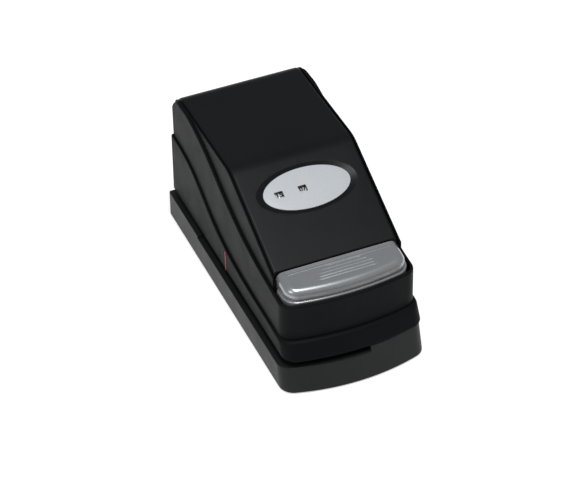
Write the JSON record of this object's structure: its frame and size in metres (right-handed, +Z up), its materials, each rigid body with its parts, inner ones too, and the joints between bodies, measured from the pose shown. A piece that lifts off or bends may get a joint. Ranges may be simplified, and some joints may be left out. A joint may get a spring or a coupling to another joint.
{
  "type": "punch time clock",
  "caption": "Desktop time clock that prints hour and minute on a card slid under it when its front bar is pressed",
  "frame": {"origin": "centre of the base's outline, on the surface the clock stands on", "axes": "+Z up, -Y to the front where the push bar is, +X to the right as seen from the front"},
  "size_m": [0.1126, 0.236, 0.1181],
  "materials": {
    "case_black": "fine moulded texture",
    "cover_black": "fine moulded texture",
    "label_silver": "satin",
    "lens_clear": "clear",
    "bar_silver": "satin",
    "inlet_black": "gloss",
    "sheet_steel": "zinc plated",
    "screw_steel": "plain",
    "foot_rubber": "matte",
    "lever_zinc": "zinc plated",
    "pad_rubber": "matte",
    "shaft_steel": "ground",
    "bush_brass": "turned",
    "spring_steel": "drawn wire",
    "wheel_white": "satin",
    "gear_nylon": "satin",
    "pinion_brass": "turned",
    "motor_steel": "plain",
    "spool_plastic": "satin",
    "ribbon_cloth": "inked weave",
    "lock_chrome": "polished",
    "lock_brass": "plain",
    "mark_red": "painted line"
  },
  "bodies": {
    "case": {"base": "case_black", "bottom_plate": "sheet_steel", "rubber_feet": "foot_rubber", "bottom_screws": "screw_steel", "case_screws": "screw_steel", "lower_case": "case_black", "mid_case": "case_black", "upper_case": "case_black", "print_line_mark": "mark_red", "power_inlet": "inlet_black", "hammer_pivot_pin": "shaft_steel", "hammer_brackets": "sheet_steel", "bar_pivot_pins": "shaft_steel", "rod_bush": "bush_brass", "left_side_plate": "sheet_steel", "right_side_plate": "sheet_steel", "frame_spacers": "shaft_steel", "type_shaft": "shaft_steel", "frame_screws": "screw_steel", "cluster_arbor": "shaft_steel", "clock_motor": "motor_steel", "spool_arbors": "shaft_steel", "ribbon_guides": "shaft_steel", "ribbon": "ribbon_cloth", "lock_nut": "lock_brass"},
    "press": {"push_bar": "bar_silver", "bar_frame": "sheet_steel"},
    "rod": {"push_rod": "shaft_steel", "return_spring": "spring_steel"},
    "hammer": {"hammer_lever": "lever_zinc", "platen_pad": "pad_rubber"},
    "cover": {"top_cover": "cover_black", "label_plate": "label_silver", "window_lenses": "lens_clear", "cover_catch": "sheet_steel"},
    "lock": {"lock_barrel": "lock_chrome", "lock_cam": "lever_zinc"},
    "minute": {"minute_wheel": "wheel_white", "minute_gear": "gear_nylon"},
    "hour": {"hour_wheel": "wheel_white"},
    "date": {"date_wheel": "wheel_white"},
    "month": {"month_wheel": "wheel_white"},
    "cluster": {"cluster_gear": "gear_nylon"},
    "pinion": {"motor_pinion": "pinion_brass"},
    "front_reel": {"front_spool": "spool_plastic", "front_ribbon_roll": "ribbon_cloth"},
    "rear_reel": {"rear_spool": "spool_plastic", "rear_ribbon_roll": "ribbon_cloth"}
  },
  "joints": [
    {"name": "bar_press", "type": "hinge", "parent": "case", "child": "press", "pos_m": [0, 0.04, 0.058], "axis": [1, 0, 0], "range_deg": [0, 2.7], "stiffness_Nm_per_rad": 6, "springref_deg": -3.44},
    {"name": "rod_slide", "type": "slide", "parent": "case", "child": "rod", "axis": [0, 0, -1], "range_m": [0, 0.0056], "deforming": ["return_spring"]},
    {"name": "hammer_rock", "type": "hinge", "parent": "case", "child": "hammer", "pos_m": [0, -0.038, 0.0095], "axis": [1, 0, 0], "range_deg": [0, 8]},
    {"name": "cover_lift", "type": "slide", "parent": "case", "child": "cover", "axis": [0, 0, 1], "range_m": [0, 0.06]},
    {"name": "lock_turn", "type": "hinge", "parent": "case", "child": "lock", "pos_m": [0, 0.062, 0.086], "axis": [1, 0, 0], "range_deg": [0, 90]},
    {"name": "minute_turn", "type": "hinge", "parent": "case", "child": "minute", "pos_m": [0, 0.009, 0.0692], "axis": [1, 0, 0], "continuous": true},
    {"name": "hour_turn", "type": "hinge", "parent": "case", "child": "hour", "pos_m": [0, 0.009, 0.0692], "axis": [1, 0, 0], "continuous": true},
    {"name": "date_turn", "type": "hinge", "parent": "case", "child": "date", "pos_m": [0, 0.009, 0.0692], "axis": [1, 0, 0], "continuous": true},
    {"name": "month_turn", "type": "hinge", "parent": "case", "child": "month", "pos_m": [0, 0.009, 0.0692], "axis": [1, 0, 0], "continuous": true},
    {"name": "cluster_turn", "type": "hinge", "parent": "case", "child": "cluster", "pos_m": [0, 0.04498, 0.06605], "axis": [1, 0, 0], "continuous": true},
    {"name": "pinion_turn", "type": "hinge", "parent": "case", "child": "pinion", "pos_m": [0, 0.07465, 0.06082], "axis": [1, 0, 0], "continuous": true},
    {"name": "front_reel_turn", "type": "hinge", "parent": "case", "child": "front_reel", "pos_m": [0, -0.043, 0.043], "axis": [1, 0, 0], "continuous": true},
    {"name": "rear_reel_turn", "type": "hinge", "parent": "case", "child": "rear_reel", "pos_m": [0, 0.068, 0.043], "axis": [1, 0, 0], "continuous": true}
  ],
  "couplings": [
    {"joint": "rod_slide", "follows": "bar_press", "m_per_rad": 0.118},
    {"joint": "hammer_rock", "follows": "bar_press", "ratio": 2.95},
    {"joint": "hour_turn", "follows": "minute_turn", "ratio": 0.041667},
    {"joint": "date_turn", "follows": "minute_turn", "ratio": 0.0013441},
    {"joint": "month_turn", "follows": "minute_turn", "ratio": 0.00011201},
    {"joint": "cluster_turn", "follows": "minute_turn", "ratio": -5},
    {"joint": "pinion_turn", "follows": "minute_turn", "ratio": 20},
    {"joint": "rear_reel_turn", "follows": "front_reel_turn", "ratio": 1}
  ]
}
